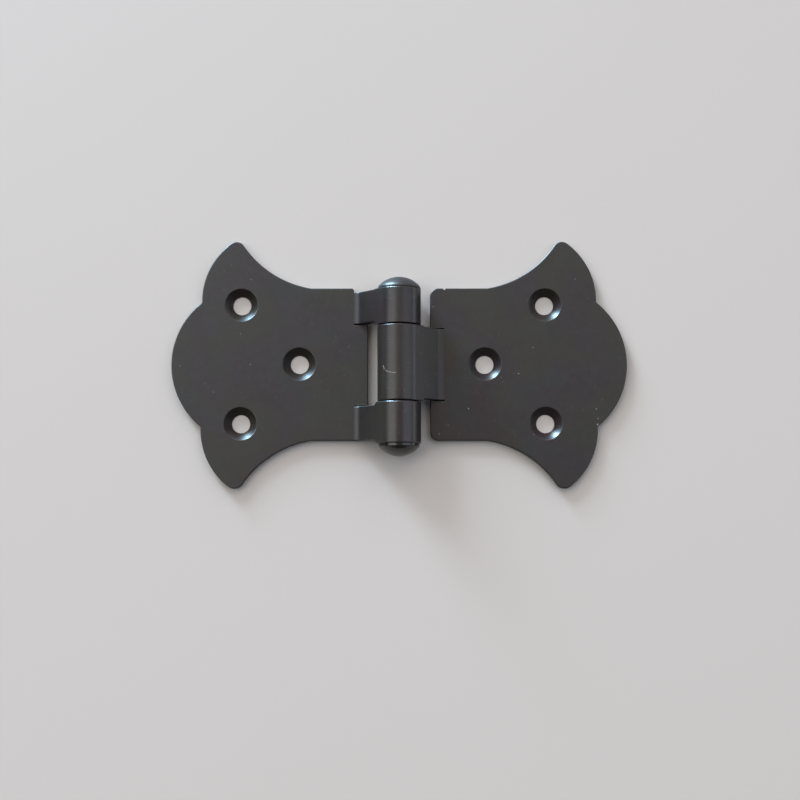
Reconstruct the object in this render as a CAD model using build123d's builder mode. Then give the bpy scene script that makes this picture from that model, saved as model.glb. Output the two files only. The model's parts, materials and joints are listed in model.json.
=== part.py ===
from build123d import *

import os
from math import acos, cos, degrees, radians, sin, tan

# A butterfly furniture hinge lying open and flat. The pin runs along Y, the leaves spread along X,
# and the backs of both leaves lie in the plane Z = 0. The origin is below the middle of the pin.
# Lengths are in millimetres and angles in degrees. Both leaves are drawn on the +X side, and the
# left one is then mirrored.

# Sheet of both leaves
sheet_thickness = 2.0
rim_round = 0.25

# Leaf outline, x from the pin axis and y from the middle of the leaf
leaf_reach = 55.0
neck_half_width = 18.5
neck_end_x = 21.4
neck_end_round = 3.0
scoop_radius = 24.8
ear_tip_x = 38.9
ear_tip_y = 30.85
ear_tip_round = 2.2
ear_radius = 17.4
ear_root_x = 47.75
ear_root_y = 15.1
ear_root_round = 0.6
inner_edge_x = 7.5
left_corner_round = 0.4
right_corner_round = 2.0

# Small V cut in the top edge of each neck, at the bend line
bend_mark_width = 0.8
bend_mark_depth = 0.5

# Pin, and the barrel rolled round it from tabs that slope up from the sheet
pin_radius = 3.15
running_clearance = 0.05
barrel_lift = 0.2
tab_slope = 48.0
bend_radius = 2.0
seam_gap = 0.15
knuckle_end_round = 0.25

# The knuckle's full width runs this far down the slope. The tab below it is narrower by an inset
# at its lower and its upper edge, and the shoulder between them is cut at 45 degrees.
shoulder_run = 3.0
top_tab_low_inset = 0.8
top_tab_high_inset = 0.1
middle_tab_low_inset = 0.5
middle_tab_high_inset = 0.15
bottom_tab_low_inset = 0.85
bottom_tab_high_inset = 0.75
tab_edge_round = 0.25
slot_width = 0.25

# Ends of the barrel and its two divisions, along the pin
barrel_top_y = 17.6
upper_division_y = 8.8
lower_division_y = -9.4
barrel_bottom_y = -19.35
knuckle_gap = 0.2

# Screw holes
screw_hole_radius = 2.2
countersink_radius = 4.0
countersink_angle = 90.0
countersink_rim_round = 0.2
outer_hole_spacing = 28.8
left_outer_holes_x = 38.2
left_middle_hole_x = 24.1
right_outer_holes_x = 35.3
right_middle_hole_x = 20.7

# Domed pin heads. Each rim is straight for the length of its land and then rounded into the
# dome: the top one runs softly into it, the bottom one keeps a crisp rim.
head_seat_gap = 0.05
top_head_radius = 5.15
top_head_rim = 0.45
top_head_land = 0.05
top_head_crown = 2.5
bottom_head_radius = 4.85
bottom_head_rim = 0.65
bottom_head_land = 0.58
bottom_head_crown = 2.35

# Lengths nearer than this count as equal when edges and corners are picked
match_tolerance = 1e-6

# Sizes that follow from those above
bore_radius = pin_radius + running_clearance
barrel_radius = bore_radius + sheet_thickness
axis_height = barrel_lift + barrel_radius
slope_sine = sin(radians(tab_slope))
slope_cosine = cos(radians(tab_slope))
bend_axis_height = sheet_thickness + bend_radius
bend_start_x = (
    barrel_radius + bend_radius - (bend_axis_height - axis_height) * slope_cosine
) / slope_sine
seam_angle = degrees(acos((bore_radius - seam_gap) / barrel_radius))


def leaf_outline(inner_corner_round):
    """Flat butterfly shape of one leaf, from its inner edge to its outer end."""
    with BuildSketch() as outline:
        with BuildLine():
            inner = Line((inner_edge_x, 0), (inner_edge_x, neck_half_width))
            neck = Line(inner @ 1, (neck_end_x, neck_half_width))
            scoop = RadiusArc(neck @ 1, (ear_tip_x, ear_tip_y), -scoop_radius)
            ear = RadiusArc(scoop @ 1, (ear_root_x, ear_root_y), ear_radius)
            ThreePointArc(ear @ 1, (leaf_reach, 0), (ear_root_x, -ear_root_y))
            mirror([inner, neck, scoop, ear], about=Plane.XZ)
        make_face()
        fillet(corners_at(outline, ear_tip_x), ear_tip_round)
        fillet(corners_at(outline, ear_root_x), ear_root_round)
        fillet(corners_at(outline, neck_end_x), neck_end_round)
        fillet(corners_at(outline, inner_edge_x), inner_corner_round)
    return outline.sketch


def corners_at(outline, x):
    """The two corners of the outline at one distance from the pin, above and below the middle."""
    corners = outline.vertices().filter_by(lambda corner: abs(corner.X - x) < match_tolerance)
    return corners.filter_by(lambda corner: corner.Y != 0)


def sheet_side(height, inside_bend_radius, roll_radius):
    """One side of the sheet, seen along the pin, from the flat leaf up the slope to the shoulder."""
    flat = Line((bend_start_x + bend_radius, height), (bend_start_x, height))
    bend = JernArc(flat @ 1, flat % 1, inside_bend_radius, -tab_slope)
    slope = Line(bend @ 1, on_slope(roll_radius, shoulder_run))
    return flat @ 0, slope @ 1


def on_slope(distance, run):
    """Point at a distance from the pin axis across the slope, and a run down along it."""
    across = Vector(slope_sine, slope_cosine) * distance
    down = Vector(slope_cosine, -slope_sine) * run
    return Vector(0, axis_height) + across + down


def roll_side(roll_radius):
    """One side of the rolled sheet, from the shoulder on the slope round to the seam."""
    slope = Line(on_slope(roll_radius, shoulder_run), on_slope(roll_radius, 0))
    roll = JernArc(slope @ 1, slope % 1, roll_radius, 360 - seam_angle)
    return slope @ 0, roll @ 1


def strip_section(front, back):
    """Closed section of the sheet between its two sides."""
    Line(front[0], back[0])
    Line(front[1], back[1])


def tab(low_y, high_y):
    """Strip that leaves the flat leaf at the bend and slopes up to the shoulder."""
    with BuildPart() as strip:
        with BuildSketch(Plane.XZ.offset(-high_y)):
            with BuildLine():
                strip_section(
                    sheet_side(sheet_thickness, bend_radius, barrel_radius),
                    sheet_side(0, bend_radius + sheet_thickness, bore_radius),
                )
            make_face()
        extrude(amount=high_y - low_y)
        bends = strip.edges().filter_by(GeomType.CIRCLE)
        fillet(bends.filter_by(is_front_bend), tab_edge_round)
    return strip.part


def is_front_bend(bend):
    """True for the bend on the front of the sheet, whose long edges run on from it in line."""
    return abs(bend.radius - bend_radius) < match_tolerance


def roll(knuckle, span):
    """Full-width end of the strip, rolled over the pin and back to a seam under the slope."""
    low_y, high_y = knuckle
    with BuildPart() as rolled:
        with BuildSketch(Plane.XZ.offset(-high_y)):
            with BuildLine():
                strip_section(roll_side(barrel_radius), roll_side(bore_radius))
            make_face()
        extrude(amount=high_y - low_y)
        through_sheet = Axis((0, 0, 0), (slope_sine, 0, slope_cosine))
        shoulders = rolled.edges().filter_by(through_sheet).sort_by(Axis.Y)
        chamfer(shoulders[0], span[0] - low_y)
        chamfer(shoulders[-1], high_y - span[1])
        rims = rolled.edges().filter_by(GeomType.CIRCLE)
        fillet(rims.filter_by(lambda rim: rim.radius > bore_radius), knuckle_end_round)
    return rolled.part


def leaf(gaps, holes, inner_corner_round):
    """Flat leaf: rounded front rims, gaps for its tabs from the bend inwards, three screw holes."""
    with BuildPart() as flat:
        extrude(leaf_outline(inner_corner_round), amount=sheet_thickness)
        fillet(flat.faces().sort_by(Axis.Z)[-1].edges(), rim_round)
        for low_y, high_y in gaps:
            with BuildSketch():
                with Locations((0, low_y)):
                    Rectangle(bend_start_x, high_y - low_y, align=Align.MIN)
            extrude(amount=sheet_thickness, mode=Mode.SUBTRACT)
        extrude(bend_mark(), amount=sheet_thickness, mode=Mode.SUBTRACT)
        with Locations(*[(x, y, sheet_thickness) for x, y in holes]):
            CounterSinkHole(
                screw_hole_radius, countersink_radius, counter_sink_angle=countersink_angle
            )
        circles = flat.edges().filter_by(GeomType.CIRCLE)
        fillet(circles.filter_by(is_countersink_mouth), countersink_rim_round)
    return flat.part


def is_countersink_mouth(rim):
    """True for the widest circle of a screw hole, on the front of the leaf."""
    return abs(rim.radius - countersink_radius) < match_tolerance


def bend_mark():
    """Small V in the neck's top edge at the bend line."""
    with BuildSketch() as mark:
        with Locations((bend_start_x, neck_half_width)):
            Polygon(
                (-bend_mark_width / 2, 0),
                (0, -bend_mark_depth),
                (bend_mark_width / 2, 0),
                align=None,
            )
    return mark.sketch


def hole_places(outer_x, middle_x):
    """Centres of one leaf's screw holes: two near the ears and one on the middle line."""
    return [
        (outer_x, outer_hole_spacing / 2),
        (middle_x, 0),
        (outer_x, -outer_hole_spacing / 2),
    ]


def tab_span(knuckle, low_inset, high_inset):
    """Ends of a tab along the pin, inset from the ends of its knuckle."""
    return (knuckle[0] + low_inset, knuckle[1] - high_inset)


def head(seat_y, outward, radius, rim, crown):
    """Half outline of a domed pin head, from the pin's side out to its rim and up to its crown."""
    rim_y = seat_y + outward * rim
    crown_y = rim_y + outward * crown
    Polyline((pin_radius, seat_y), (radius, seat_y), (radius, rim_y))
    RadiusArc((radius, rim_y), (0, crown_y), -outward * dome_radius(radius, crown))
    return rim_y, crown_y


def dome_radius(radius, crown):
    """Radius of the sphere that a pin head's dome is part of."""
    return (radius**2 + crown**2) / (2 * crown)


def round_rim(profile, rim_y, radius, rim, land, crown):
    """Rounds a pin head's outline where its rim meets its dome, down to the end of the land."""
    corners = profile.vertices().filter_by(lambda corner: abs(corner.X - radius) < match_tolerance)
    turn = acos(radius / dome_radius(radius, crown))
    fillet(corners.sort_by(lambda corner: abs(corner.Y - rim_y))[0], (rim - land) / tan(turn / 2))


# Knuckle ends along the pin, with half a gap left at each division
top_knuckle = (upper_division_y + knuckle_gap / 2, barrel_top_y)
middle_knuckle = (lower_division_y + knuckle_gap / 2, upper_division_y - knuckle_gap / 2)
bottom_knuckle = (barrel_bottom_y, lower_division_y - knuckle_gap / 2)
top_tab = tab_span(top_knuckle, top_tab_low_inset, top_tab_high_inset)
middle_tab = tab_span(middle_knuckle, middle_tab_low_inset, middle_tab_high_inset)
bottom_tab = tab_span(bottom_knuckle, bottom_tab_low_inset, bottom_tab_high_inset)

with BuildPart() as left_leaf:
    top_gap = (top_tab[0] - slot_width, neck_half_width)
    bottom_gap = (-neck_half_width, bottom_tab[1] + slot_width)
    holes = hole_places(left_outer_holes_x, left_middle_hole_x)
    add(leaf([top_gap, bottom_gap], holes, left_corner_round))
    for span, knuckle in ((top_tab, top_knuckle), (bottom_tab, bottom_knuckle)):
        add(tab(*span))
        add(roll(knuckle, span))
    mirror(about=Plane.YZ, mode=Mode.REPLACE)
left_leaf.part.label = "left_leaf"

with BuildPart() as right_leaf:
    middle_gap = (middle_tab[0] - slot_width, middle_tab[1] + slot_width)
    holes = hole_places(right_outer_holes_x, right_middle_hole_x)
    add(leaf([middle_gap], holes, right_corner_round))
    add(tab(*middle_tab))
    add(roll(middle_knuckle, middle_tab))
right_leaf.part.label = "right_leaf"

with BuildPart() as pin:
    with BuildSketch(Plane.XY.offset(axis_height)) as pin_profile:
        with BuildLine():
            top_seat = barrel_top_y + head_seat_gap
            bottom_seat = barrel_bottom_y - head_seat_gap
            top_rim_y, top_crown_y = head(
                top_seat, 1, top_head_radius, top_head_rim, top_head_crown
            )
            bottom_rim_y, bottom_crown_y = head(
                bottom_seat, -1, bottom_head_radius, bottom_head_rim, bottom_head_crown
            )
            Line((pin_radius, bottom_seat), (pin_radius, top_seat))
            Line((0, bottom_crown_y), (0, top_crown_y))
        make_face()
        round_rim(
            pin_profile, top_rim_y, top_head_radius, top_head_rim, top_head_land, top_head_crown
        )
        round_rim(
            pin_profile,
            bottom_rim_y,
            bottom_head_radius,
            bottom_head_rim,
            bottom_head_land,
            bottom_head_crown,
        )
    revolve(axis=Axis((0, 0, axis_height), (0, 1, 0)))
pin.part.label = "pin"

os.makedirs("parts", exist_ok=True)
for piece in (left_leaf, right_leaf, pin):
    export_step(piece.part, f"parts/{piece.part.label}.step")
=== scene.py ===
import json
from math import cos, pi, radians, sin

import bpy
from mathutils import Matrix, Vector

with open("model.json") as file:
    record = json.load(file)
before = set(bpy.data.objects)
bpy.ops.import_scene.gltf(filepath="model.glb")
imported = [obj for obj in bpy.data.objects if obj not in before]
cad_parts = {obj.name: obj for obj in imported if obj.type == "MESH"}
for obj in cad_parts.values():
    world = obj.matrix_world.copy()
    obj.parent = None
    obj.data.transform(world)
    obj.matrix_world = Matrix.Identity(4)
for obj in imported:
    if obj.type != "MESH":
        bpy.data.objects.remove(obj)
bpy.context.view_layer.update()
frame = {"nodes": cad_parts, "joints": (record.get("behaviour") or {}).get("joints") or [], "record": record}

scene = bpy.context.scene
record_mounts = {mount["name"]: mount for mount in frame["record"]["mounts"]}
pin_axis_height = frame["joints"][0]["pos_m"][2]
sheet_front = 0.002
millimetre = 0.001

# Camera, nearly straight above the hinge and leaning a little towards its lower edge
camera_aim = Vector((0.0002, -0.0087, sheet_front))
camera_distance = 0.300
camera_lean = radians(5.0)
camera_turn = radians(-0.03)
frame_width_at_aim = 0.1925
sensor_width = 36.0
near_clip = 0.01

# Record's mounts at the screw holes of each leaf: the outer pair and the middle hole
leaf_holes = {
    "left_leaf": ("left_outer_screws", "left_middle_screw"),
    "right_leaf": ("right_outer_screws", "right_middle_screw"),
}

# Regions with a roughness of their own: the countersinks with their rounded rims, the rolled barrel
# and its tabs between the bends, and the crisp lower head of the pin. A pair is a range over which
# a region fades in, by height over the back of the sheet or by Y.
countersink_radius = 0.0042
countersink_heights = (0.00004, 0.00012)
rolled_half_width = 0.0112
rolled_fade = 0.0010
rolled_heights = (0.0021, 0.0030)
crisp_head_y = (-0.017, -0.019)

# Multiplies a place to leave out its height
without_height = (1, 1, 0)

# Patterns. Each is a noise with its waves for each metre, and where it has a low and a high, the
# range of the noise over which the pattern comes up.
film_drift = dict(scale=75, detail=2, low=0.40, high=0.60)
blue_patches = dict(scale=90, detail=2, low=0.54, high=0.72)
smudges = dict(scale=420, detail=4, roughness=0.65, low=0.35, high=0.75)
leaf_grain = dict(scale=2600, detail=4, roughness=0.7)
leaf_mottle = dict(scale=130, detail=4)
pin_grain = dict(scale=3000, detail=3, roughness=0.7)
pin_mottle = dict(scale=420, detail=3)
floor_tooth = dict(scale=900, detail=3)
floor_shade = dict(scale=14, detail=2)

# Black film of the leaves. The tints are shares of its level.
finish_ior = 1.55
film_level = 0.0122
olive_tint = (1.28, 1.14, 0.70)
mauve_tint = (1.32, 0.80, 1.00)
blue_tint = (0.92, 1.06, 1.16)
flat_roughness = 0.45
rolled_roughness = 0.33
cone_roughness = 0.38
grain_sway = 0.14
mottle_sway = -0.16
leaf_bump = dict(strength=0.25, depth=0.00002)

# Marks on the film: how far each covers it, its grey level, and its warmth
smudge_mark = dict(share=0.35, level=2 * film_level, warmth=0.08)
scratch_mark = dict(share=0.45, level=0.12)
tick_mark = dict(share=0.50, level=0.12)
dust_mark = dict(share=0.85, level=0.26, warmth=-0.02)
# Lighter sharp edges: their wear, and a painted edge highlight
wear_and_highlight_mark = dict(share=0.70, level=0.20)
scuff_mark = dict(share=1.0, level=0.32, warmth=0.03)

# Fine scratches in two directions. Their noise has few waves along them and many across them, and
# they show where it is over its least value.
scratch_sets = (
    dict(angle=52, along=420, across=5200, least=0.71, patch_scale=127),
    dict(angle=117, along=520, across=4600, least=0.72, patch_scale=192),
)
scratch_rise = 0.06
scratch_patches = dict(detail=1, low=0.46, high=0.62)

# Short rub marks round the barrel: waves for each metre along X, Y and Z
tick_waves = (330, 6500, 330)
tick_lines = dict(scale=1, detail=1, low=0.68, high=0.76)
tick_patches = dict(scale=210, detail=1, low=0.50, high=0.64)

# Dust: cells for each metre, with a speck in each. Sizes and the soft edge are shares of a cell.
# The draw is a number from 0 to 1 that each cell gets by chance, and the range of it over which
# its speck comes up is given.
dust_cells = 480
dust_size = 0.10
dust_edge = (0.02, -0.03)
dust_draw = (0.20, 0.85)
dust_ragged = dict(scale=5200)
dust_ragged_size = 0.10
dust_thickness = dict(scale=55, detail=1, low=0.44, high=0.60, to_low=0.35, to_high=1.1)

# Worn edges with a painted edge highlight: the radius that finds them, and the range of the turn between the
# rounded normal and the surface's own, as 1 less their cosine, over which the lighter edge comes up
edge_find_radius = 0.00035
edge_find_samples = 4
edge_turn_range = (0.03, 0.16)
edge_mark_gaps = dict(scale=900, detail=4, roughness=0.7, low=0.44, high=0.62)

# Arc-shaped scuff on the front of the middle knuckle, with its angles from +X towards +Y. Its line
# is fully bare at its core, and it fades in above the pin's axis over its rise.
scuffed_leaf = "right_leaf"
scuff_centre = (-0.0013, -0.0004, 0)
scuff_radius = 0.0026
scuff_width = 0.00014
scuff_core = scuff_width / 3
scuff_from = radians(-165)
scuff_to = radians(-78)
scuff_rise = 0.001
scuff_waver = dict(scale=700)
scuff_waver_size = 0.0006
scuff_gaps = dict(scale=2600, detail=3, low=0.36, high=0.58)

# Pin. Its roughness goes with its mottle and a share of its grain.
pin_dark = dict(level=0.006, warmth=-0.1)
pin_light = dict(level=0.009)
pin_shade_range = (0.35, 0.65)
pin_grain_share = 0.4
pin_uneven_range = (0.4, 1.0)
pin_roughness = (0.36, 0.46)
crisp_head_roughness = 0.22
pin_bump = dict(strength=0.20, depth=0.00002)

# Floor, in places a little darker, down to its least shade
floor_size = 4.0
floor_colour = (0.640, 0.632, 0.625)
floor_shade_least = 0.985
floor_roughness = 0.8
floor_specular = 0.15
floor_bump = dict(strength=0.10, depth=0.0001)

# Lights, each a soft panel aimed at the hinge. Angles are seen from the hinge: azimuth from +X
# towards +Y, elevation above the floor.
panels = {
    "window": dict(azimuth=121, elevation=17, distance=1.3, width=0.325, height=0.48,
                   radiance=29.0, colour=(0.88, 0.99, 1.12)),
    "sky": dict(azimuth=124, elevation=6, distance=2.2, width=0.60, height=0.46, radiance=232.0,
                colour=(0.45, 0.80, 1.07), gloss_only=True),
    "left_strip": dict(azimuth=180, elevation=50, distance=2.0, width=0.8, height=1.66,
                       radiance=2.3, colour=(1.03, 1.0, 0.96)),
    "right_wall": dict(azimuth=0, elevation=46, distance=1.6, width=0.7, height=1.46,
                       radiance=1.25, colour=(0.90, 0.98, 1.12)),
}

# The room round the hinge: bright behind it, dark in front, dim at the left, and a low bluish
# brightness at the right
room_back = (1.50, 1.36, 1.27)
room_front = (0.07, 0.064, 0.060)
room_left = (0.035, 0.034, 0.033)
room_right = (0.20, 0.215, 0.24)
room_right_low = (2.6, 2.8, 3.0)

# Where the parts of the room fade into each other, as ranges of the X, Y or Z of a direction. The
# bright back lies round its peak, by the cosine to it, and keeps only its low share at the horizon.
left_to_right_x = (-0.2, 0.7)
front_to_back_y = (-0.4, 0.0)
right_low_to_high_z = (0.04, 0.22)
back_peak = (-0.14, 0.88, 0.45)
back_cosine = (0.35, 0.90)
back_rise_z = (-0.05, 0.45)
back_low_share = 0.55

# Places of a Mix node's two inputs and its output, for numbers and for colours
number_places = (2, 3, 0)
colour_places = (6, 7, 2)


def grey(level, warmth=0.0):
    """A grey colour, a little warmer or, below zero, a little cooler."""
    return (level * (1 + warmth), level, level * (1 - warmth), 1.0)


def opaque(colour, share=1.0):
    """A share of a colour, with its alpha."""
    return tuple(value * share for value in colour) + (1.0,)


class Graph:
    """Small helper that adds nodes to one material or world and links them by their sockets."""

    def __init__(self, tree):
        self.tree = tree

    def add(self, kind, inputs=(), **settings):
        """Adds a node, sets its properties, and fills its sockets with values or other sockets."""
        node = self.tree.nodes.new(kind)
        for name, value in settings.items():
            setattr(node, name, value)
        for name, value in dict(inputs).items():
            self.fill(node.inputs[name], value)
        return node

    def fill(self, socket, value):
        """Links a socket to another one, or sets its own value."""
        if isinstance(value, bpy.types.NodeSocket):
            self.tree.links.new(value, socket)
        else:
            socket.default_value = value

    def math(self, operation, *values):
        """One number worked out from others."""
        inputs = dict(enumerate(values))
        return self.add("ShaderNodeMath", inputs, operation=operation).outputs[0]

    def vector(self, operation, *values, output="Vector"):
        """One vector, or its length, worked out from others."""
        inputs = dict(enumerate(values))
        return self.add("ShaderNodeVectorMath", inputs, operation=operation).outputs[output]

    def split(self, vector):
        """The X, Y and Z of a vector."""
        return self.add("ShaderNodeSeparateXYZ", {"Vector": vector}).outputs

    def noise(self, place, scale, detail=3.0, roughness=0.55):
        """Soft noise from 0 to 1 at a scale in waves for each metre."""
        inputs = {"Vector": place, "Scale": scale, "Detail": detail, "Roughness": roughness}
        return self.add("ShaderNodeTexNoise", inputs).outputs["Fac"]

    def step(self, value, low, high, to_low=0.0, to_high=1.0):
        """A smooth change from one level to another as a value goes from low to high."""
        inputs = {"Value": value, "From Min": low, "From Max": high, "To Min": to_low,
                  "To Max": to_high}
        node = self.add("ShaderNodeMapRange", inputs, interpolation_type="SMOOTHSTEP")
        return node.outputs["Result"]

    def patches(self, place, low, high, to_low=0.0, to_high=1.0, **noise):
        """Soft patches, where a noise goes from low to high."""
        return self.step(self.noise(place, **noise), low, high, to_low, to_high)

    def sway(self, noise, size):
        """A noise moved to lie about zero and scaled to a size."""
        return self.math("MULTIPLY", self.math("SUBTRACT", noise, 0.5), size)

    def between(self, data_type, places, share, first, second):
        """A value between two others, by a Mix node of the type given."""
        first_place, second_place, output_place = places
        node = self.add("ShaderNodeMix", {"Factor": share}, data_type=data_type)
        self.fill(node.inputs[first_place], first)
        self.fill(node.inputs[second_place], second)
        return node.outputs[output_place]

    def mix(self, share, first, second):
        """A colour between two colours."""
        return self.between("RGBA", colour_places, share, first, second)

    def blend(self, share, first, second):
        """A number between two numbers."""
        return self.between("FLOAT", number_places, share, first, second)

    def mark(self, colour, mask, share, level, warmth=0.0):
        """The colour with grey marks where a mask is over 0."""
        return self.mix(self.math("MULTIPLY", mask, share), colour, grey(level, warmth))

    def surface(self, colour, roughness, bumps, strength, depth):
        """A principled surface with bumps, as the material's output. Returns its shader."""
        bump = self.add("ShaderNodeBump", {"Height": bumps, "Strength": strength,
                                           "Distance": depth})
        shader = self.add("ShaderNodeBsdfPrincipled", {
            "Base Color": colour, "Roughness": roughness, "Normal": bump.outputs["Normal"],
        })
        self.add("ShaderNodeOutputMaterial", {"Surface": shader.outputs["BSDF"]})
        return shader


def new_material(name):
    """A new material, the graph that fills its empty tree, and the place on its object."""
    material = bpy.data.materials.new(name)
    material.use_nodes = True
    material.node_tree.nodes.clear()
    graph = Graph(material.node_tree)
    return material, graph, graph.add("ShaderNodeTexCoord").outputs["Object"]


def hole_centres(node):
    """Screw hole centres of a leaf in the frame, worked out from the record's mounts."""
    outer, middle = (record_mounts[name] for name in leaf_holes[node])
    reach = outer["dims"]["spacing_y_mm"] * millimetre / 2
    x, y, _ = outer["pos_m"]
    return [(x, y + reach), (x, y - reach), tuple(middle["pos_m"][:2])]


def cone_mask(graph, place, centres):
    """1 inside the countersinks, 0 elsewhere and on the back."""
    flat = graph.vector("MULTIPLY", place, without_height)
    inside = 0.0
    for x, y in centres:
        away = graph.vector("DISTANCE", flat, (x, y, 0), output="Value")
        inside = graph.math("ADD", inside, graph.math("LESS_THAN", away, countersink_radius))
    over_back = graph.step(graph.split(place)["Z"], *countersink_heights)
    return graph.math("MULTIPLY", inside, over_back)


def rolled_mask(graph, place):
    """1 on the barrel and its tabs, 0 on the flat leaves."""
    split = graph.split(place)
    near_pin = graph.step(graph.math("ABSOLUTE", split["X"]), rolled_half_width,
                          rolled_half_width - rolled_fade)
    return graph.math("MULTIPLY", near_pin, graph.step(split["Z"], *rolled_heights))


def film_colour(graph, place):
    """Nearly black, drifting between olive, mauve and blue as thin oxide does, with soft smudges."""
    colour = graph.mix(graph.patches(place, **film_drift), opaque(olive_tint, film_level),
                       opaque(mauve_tint, film_level))
    colour = graph.mix(graph.patches(place, **blue_patches), colour,
                       opaque(blue_tint, film_level))
    return graph.mark(colour, graph.patches(place, **smudges), **smudge_mark)


def dust_mask(graph, place):
    """Specks of dust of uneven size and brightness, up to about 0.4 mm across, thicker in places."""
    cells = graph.add("ShaderNodeTexVoronoi", {"Vector": place, "Scale": dust_cells}).outputs
    draw = graph.add("ShaderNodeSeparateColor", {"Color": cells["Color"]}).outputs
    ragged = graph.sway(graph.noise(place, **dust_ragged), dust_ragged_size)
    reach = graph.math("ADD", cells["Distance"], ragged)
    size = graph.math("MULTIPLY", draw["Green"], dust_size)
    speck = graph.step(graph.math("SUBTRACT", reach, size), *dust_edge)
    chosen = graph.math("MULTIPLY", graph.step(draw["Red"], *dust_draw),
                        graph.patches(place, **dust_thickness))
    return graph.math("MULTIPLY", speck, chosen)


def scratch_mask(graph, place, angle, along, across, least, patch_scale):
    """Fine short scratches at an angle across the leaf, where a noise drawn out along them is over
    its least value, and only in some patches."""
    turned = graph.add("ShaderNodeVectorRotate", {"Vector": place, "Angle": -radians(angle)},
                       rotation_type="Z_AXIS").outputs["Vector"]
    drawn = graph.vector("MULTIPLY", turned, (along, across, along))
    lines = graph.patches(drawn, scale=1, detail=1, low=least, high=least + scratch_rise)
    return graph.math("MULTIPLY", lines,
                      graph.patches(place, scale=patch_scale, **scratch_patches))


def tick_mask(graph, place):
    """Short fine rub marks that run round the barrel."""
    lines = graph.patches(graph.vector("MULTIPLY", place, tick_waves), **tick_lines)
    return graph.math("MULTIPLY", lines, graph.patches(place, **tick_patches))


def wear_and_highlight_mask(graph, place):
    """Ragged lighter marks along sharp edges, where the rounded normal leaves the surface's own: worn bare
    metal together with a painted edge highlight.
    """
    bevel = graph.add("ShaderNodeBevel", {"Radius": edge_find_radius}, samples=edge_find_samples)
    normal = graph.add("ShaderNodeNewGeometry").outputs["Normal"]
    cosine = graph.vector("DOT_PRODUCT", bevel.outputs["Normal"], normal, output="Value")
    edges = graph.step(graph.math("SUBTRACT", 1.0, cosine), *edge_turn_range)
    return graph.math("MULTIPLY", edges, graph.patches(place, **edge_mark_gaps))


def scuff_mask(graph, place):
    """Arc-shaped scuff that a tool left across the front of the middle knuckle."""
    away = graph.vector("MULTIPLY", graph.vector("SUBTRACT", place, scuff_centre), without_height)
    split = graph.split(away)
    angle = graph.math("ARCTAN2", split["Y"], split["X"])
    waver = graph.sway(graph.noise(place, **scuff_waver), scuff_waver_size)
    reach = graph.math("ADD", graph.vector("LENGTH", away, output="Value"), waver)
    off_arc = graph.math("ABSOLUTE", graph.math("SUBTRACT", reach, scuff_radius))
    line = graph.step(off_arc, scuff_width, scuff_core)
    ends = graph.math("MULTIPLY", graph.math("GREATER_THAN", angle, scuff_from),
                      graph.math("LESS_THAN", angle, scuff_to))
    front = graph.step(graph.split(place)["Z"], pin_axis_height, pin_axis_height + scuff_rise)
    return graph.math("MULTIPLY", graph.math("MULTIPLY", line, ends),
                      graph.math("MULTIPLY", graph.patches(place, **scuff_gaps), front))


def leaf_roughness(graph, place, grain, rolled, centres):
    """Uneven roughness: smoother on the barrel, and even in the turned countersinks."""
    mottle = graph.noise(place, **leaf_mottle)
    spread = graph.math("ADD", graph.sway(grain, grain_sway), graph.sway(mottle, mottle_sway))
    uneven = graph.math("ADD", spread, graph.blend(rolled, flat_roughness, rolled_roughness))
    return graph.blend(cone_mask(graph, place, centres), uneven, cone_roughness)


def leaf_finish(name, centres, scuffed):
    """Satin black finish on steel: a tinted film with scratches, rub marks on the barrel, dust,
    worn edges lightened also as a painted edge highlight, and fine grain."""
    material, graph, place = new_material(name)
    rolled = rolled_mask(graph, place)
    grain = graph.noise(place, **leaf_grain)

    scratches = 0.0
    for scratch_set in scratch_sets:
        scratches = graph.math("MAXIMUM", scratches, scratch_mask(graph, place, **scratch_set))
    ticks = graph.math("MULTIPLY", tick_mask(graph, place), rolled)

    colour = graph.mark(film_colour(graph, place), scratches, **scratch_mark)
    colour = graph.mark(colour, ticks, **tick_mark)
    colour = graph.mark(colour, dust_mask(graph, place), **dust_mark)
    # Sharp edges lightened: their wear and a painted edge highlight
    colour = graph.mark(colour, wear_and_highlight_mask(graph, place), **wear_and_highlight_mark)
    if scuffed:
        colour = graph.mark(colour, scuff_mask(graph, place), **scuff_mark)

    rough = leaf_roughness(graph, place, grain, rolled, centres)
    shader = graph.surface(colour, rough, grain, **leaf_bump)
    shader.inputs["IOR"].default_value = finish_ior
    return material


def pin_finish():
    """Riveted pin: plain black without the film's tints and marks, smoothest on its crisp head."""
    material, graph, place = new_material("pin_finish")
    mottle = graph.noise(place, **pin_mottle)
    grain = graph.noise(place, **pin_grain)
    colour = graph.mix(graph.step(mottle, *pin_shade_range), grey(**pin_dark), grey(**pin_light))
    uneven = graph.math("ADD", mottle, graph.math("MULTIPLY", grain, pin_grain_share))
    rough = graph.step(uneven, *pin_uneven_range, *pin_roughness)
    crisp_head = graph.step(graph.split(place)["Y"], *crisp_head_y)
    rough = graph.blend(crisp_head, rough, crisp_head_roughness)
    shader = graph.surface(colour, rough, grain, **pin_bump)
    shader.inputs["IOR"].default_value = finish_ior
    return material


def floor_finish():
    """Pale matt board with a very faint tooth."""
    material, graph, place = new_material("floor_board")
    colour = graph.mix(graph.noise(place, **floor_shade), opaque(floor_colour, floor_shade_least),
                       opaque(floor_colour))
    tooth = graph.noise(place, **floor_tooth)
    shader = graph.surface(colour, floor_roughness, tooth, **floor_bump)
    shader.inputs["Specular IOR Level"].default_value = floor_specular
    return material


def dress_nodes():
    """Gives each CAD node its finish."""
    for name in leaf_holes:
        finish = leaf_finish(f"{name}_finish", hole_centres(name), name == scuffed_leaf)
        frame["nodes"][name].material_slots[0].material = finish
    frame["nodes"]["pin"].material_slots[0].material = pin_finish()


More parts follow.
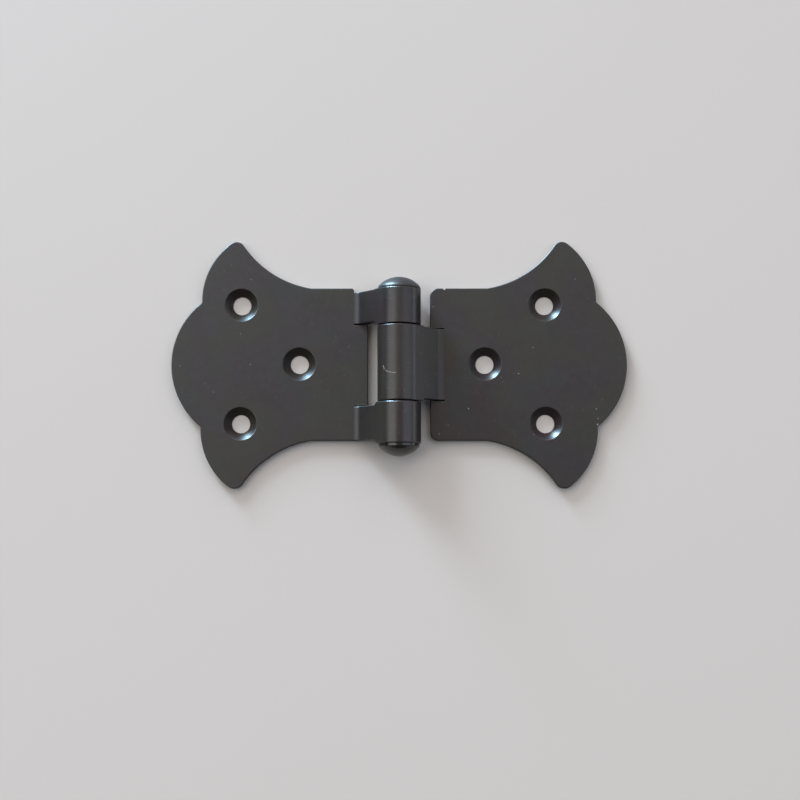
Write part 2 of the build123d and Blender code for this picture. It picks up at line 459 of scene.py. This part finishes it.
def add_floor():
    """The plain floor that the hinge lies on."""
    half = floor_size / 2
    mesh = bpy.data.meshes.new("floor")
    corners = [(-half, -half, 0), (half, -half, 0), (half, half, 0), (-half, half, 0)]
    mesh.from_pydata(corners, [], [(0, 1, 2, 3)])
    mesh.materials.append(floor_finish())
    floor = bpy.data.objects.new("floor", mesh)
    scene.collection.objects.link(floor)


def direction(azimuth, elevation):
    """Unit vector at an azimuth and an elevation in degrees."""
    level = cos(radians(elevation))
    return Vector((level * cos(radians(azimuth)), level * sin(radians(azimuth)),
                   sin(radians(elevation))))


def add_panel(name, azimuth, elevation, distance, width, height, radiance, colour,
              gloss_only=False):
    """A soft rectangular light that faces the hinge, with its radiance as seen from there. One
    for gloss alone shows in reflections and lights nothing else."""
    light = bpy.data.lights.new(name, "AREA")
    light.shape = "RECTANGLE"
    light.size = width
    light.size_y = height
    light.energy = radiance * width * height * pi
    light.color = colour
    panel = bpy.data.objects.new(name, light)
    away = direction(azimuth, elevation)
    panel.location = away * distance
    panel.rotation_euler = away.to_track_quat("Z", "Y").to_euler()
    panel.visible_diffuse = not gloss_only
    scene.collection.objects.link(panel)


def add_room():
    """Soft light from the rest of the room, by the direction that it comes from."""
    world = bpy.data.worlds.new("room")
    world.use_nodes = True
    graph = Graph(world.node_tree)
    towards = graph.add("ShaderNodeTexCoord").outputs["Generated"]
    split = graph.split(towards)
    right = graph.mix(graph.step(split["Z"], *right_low_to_high_z), opaque(room_right_low),
                      opaque(room_right))
    sides = graph.mix(graph.step(split["X"], *left_to_right_x), opaque(room_left), right)
    light = graph.mix(graph.step(split["Y"], *front_to_back_y), opaque(room_front), sides)
    cosine = graph.vector("DOT_PRODUCT", towards, back_peak, output="Value")
    share = graph.math("MULTIPLY", graph.step(cosine, *back_cosine),
                       graph.step(split["Z"], *back_rise_z, back_low_share, 1.0))
    light = graph.mix(share, light, opaque(room_back))
    graph.fill(world.node_tree.nodes["Background"].inputs["Color"], light)
    scene.world = world


def add_camera():
    """Camera at the photograph's angle."""
    data = bpy.data.cameras.new("camera")
    data.sensor_width = sensor_width
    data.lens = sensor_width * camera_distance / frame_width_at_aim
    data.clip_start = near_clip
    camera = bpy.data.objects.new("camera", data)
    towards = Vector((0, -sin(camera_lean), cos(camera_lean)))
    camera.matrix_world = (
        Matrix.Translation(camera_aim + towards * camera_distance)
        @ Matrix.Rotation(camera_lean, 4, "X")
        @ Matrix.Rotation(camera_turn, 4, "Z")
    )
    scene.collection.objects.link(camera)
    scene.camera = camera


scene.view_settings.view_transform = "Standard"
dress_nodes()
add_floor()
for panel_name, panel_values in panels.items():
    add_panel(panel_name, **panel_values)
add_room()
add_camera()
